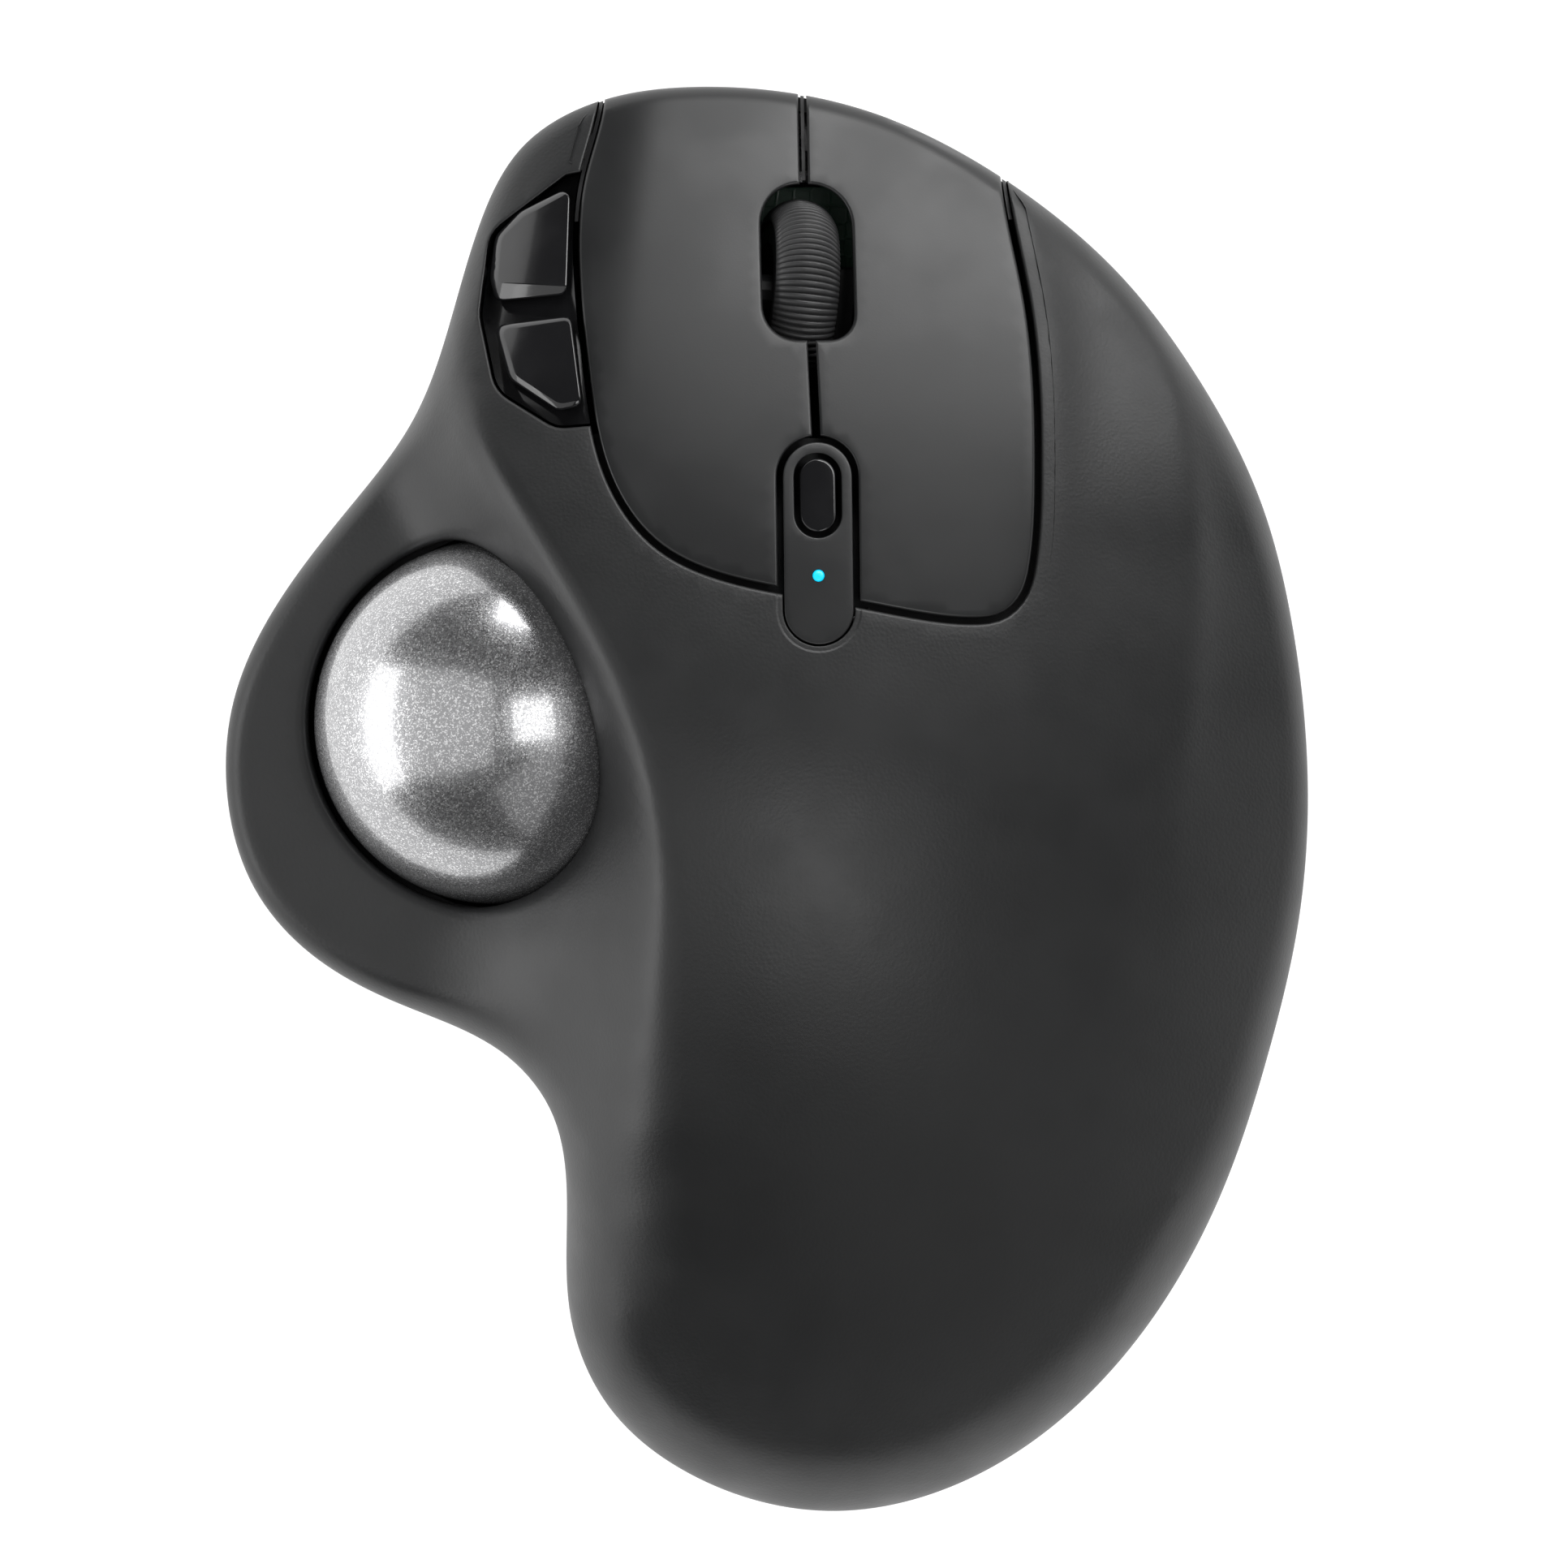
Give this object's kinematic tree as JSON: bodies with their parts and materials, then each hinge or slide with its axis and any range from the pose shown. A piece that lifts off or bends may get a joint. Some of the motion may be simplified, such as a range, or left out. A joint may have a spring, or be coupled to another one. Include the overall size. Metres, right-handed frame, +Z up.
{
  "type": "trackball mouse",
  "caption": "Right-handed wireless trackball mouse with a thumb ball in a side deck, two click covers, a ribbed scroll wheel, side buttons and a speed button.",
  "frame": {"origin": "on the desk under the middle of the plan bounding box", "axes": "+Y towards the buttons and charging port, +X to the user's right, away from the thumb ball, +Z up"},
  "size_m": [0.1007, 0.1328, 0.0466],
  "materials": {
    "shell_grain": "fine leather-like grain, matte charcoal",
    "cover_satin": "smooth satin charcoal",
    "gloss_black": "glossy black",
    "inner_black": "plain matte black moulding",
    "wheel_rubber": "ribbed matte rubber",
    "foot_rubber": "smooth low-friction pad",
    "ball_silver": "silver grey with fine glitter under a clear coat",
    "bearing_white": "polished ceramic white",
    "light_clear": "clear cyan light pipe, lit",
    "sensor_window": "dark red window",
    "board_green": "solder mask green",
    "chip_black": "matte component black",
    "plunger_white": "white nylon",
    "port_metal": "drawn steel",
    "battery_foil": "silver laminate film",
    "slider_red": "satin red",
    "screw_steel": "zinc-plated steel"
  },
  "bodies": {
    "case": {"top_shell": "shell_grain", "base_plate": "inner_black", "inner_frame": "inner_black", "island_plate": "cover_satin", "status_light": "light_clear", "side_bezel": "gloss_black", "wheel_encoder": "chip_black", "ball_cup": "inner_black", "bearing_1": "bearing_white", "bearing_2": "bearing_white", "bearing_3": "bearing_white", "sensor_lens": "sensor_window", "sensor_chip": "chip_black", "sensor_board": "board_green", "main_board": "board_green", "controller_chip": "chip_black", "left_switch": "chip_black", "right_switch": "chip_black", "wheel_switch": "chip_black", "dpi_switch": "chip_black", "forward_switch": "chip_black", "back_switch": "chip_black", "side_board": "board_green", "charging_port": "port_metal", "battery": "battery_foil", "foot_1": "foot_rubber", "foot_2": "foot_rubber", "foot_3": "foot_rubber", "foot_4": "foot_rubber", "screw_1": "screw_steel", "screw_2": "screw_steel", "screw_3": "screw_steel", "screw_4": "screw_steel"},
    "left_button": {"left_button": "cover_satin"},
    "right_button": {"right_button": "cover_satin"},
    "left_plunger": {"left_plunger": "plunger_white"},
    "right_plunger": {"right_plunger": "plunger_white"},
    "dpi_button": {"dpi_button": "gloss_black"},
    "side_button_front": {"side_button_front": "gloss_black"},
    "side_button_back": {"side_button_back": "gloss_black"},
    "wheel_carrier": {"wheel_carrier": "inner_black"},
    "trackball": {"trackball": "ball_silver"},
    "power_slider": {"power_slider": "slider_red"},
    "channel_button": {"channel_button": "inner_black"},
    "wheel": {"wheel_hub": "chip_black", "wheel_tyre": "wheel_rubber"}
  },
  "joints": [
    {"name": "left_press", "type": "hinge", "parent": "case", "child": "left_button", "pos_m": [-0.006, 0.024, 0.034], "axis": [-1, 0, 0], "range_deg": [0, 1.2], "stiffness_Nm_per_rad": 0.4, "springref_deg": -2.29},
    {"name": "right_press", "type": "hinge", "parent": "case", "child": "right_button", "pos_m": [0.014, 0.024, 0.034], "axis": [-1, 0, 0], "range_deg": [0, 1.2], "stiffness_Nm_per_rad": 0.4, "springref_deg": -2.29},
    {"name": "left_plunger_travel", "type": "slide", "parent": "case", "child": "left_plunger", "axis": [0, 0, -1], "range_m": [0, 0.0006]},
    {"name": "right_plunger_travel", "type": "slide", "parent": "case", "child": "right_plunger", "axis": [0, 0, -1], "range_m": [0, 0.0006]},
    {"name": "wheel_press", "type": "hinge", "parent": "case", "child": "wheel_carrier", "pos_m": [0.00032, 0.03133, 0.01484], "axis": [-0.9794, 0.1029, 0.1737], "range_deg": [0, 1.9], "stiffness_Nm_per_rad": 0.1, "springref_deg": -2.86},
    {"name": "wheel_roll", "type": "hinge", "parent": "wheel_carrier", "child": "wheel", "pos_m": [0.0023, 0.0462, 0.0172], "axis": [0.9794, -0.1029, -0.1737], "continuous": true},
    {"name": "forward_press", "type": "slide", "parent": "case", "child": "side_button_front", "axis": [0.3392, -0.5457, -0.7662], "range_m": [0, 0.0005], "stiffness_N_per_m": 60, "springref_m": -0.004},
    {"name": "back_press", "type": "slide", "parent": "case", "child": "side_button_back", "axis": [0.3392, -0.5457, -0.7662], "range_m": [0, 0.0005], "stiffness_N_per_m": 60, "springref_m": -0.004},
    {"name": "dpi_press", "type": "slide", "parent": "case", "child": "dpi_button", "axis": [-0.1658, -0.4122, -0.8959], "range_m": [0, 0.0004], "stiffness_N_per_m": 40, "springref_m": -0.004},
    {"name": "ball_roll", "type": "hinge", "parent": "case", "child": "trackball", "pos_m": [-0.0251, 0.0072, 0.0223], "axis": [1, 0, 0], "continuous": true},
    {"name": "power_slide", "type": "slide", "parent": "case", "child": "power_slider", "axis": [1, 0, 0], "range_m": [0, 0.003]},
    {"name": "channel_press", "type": "slide", "parent": "case", "child": "channel_button", "axis": [0, 0, 1], "range_m": [0, 0.0004], "stiffness_N_per_m": 30, "springref_m": -0.004}
  ],
  "couplings": [
    {"joint": "left_plunger_travel", "follows": "left_press", "m_per_rad": 0.027},
    {"joint": "right_plunger_travel", "follows": "right_press", "m_per_rad": 0.02}
  ]
}
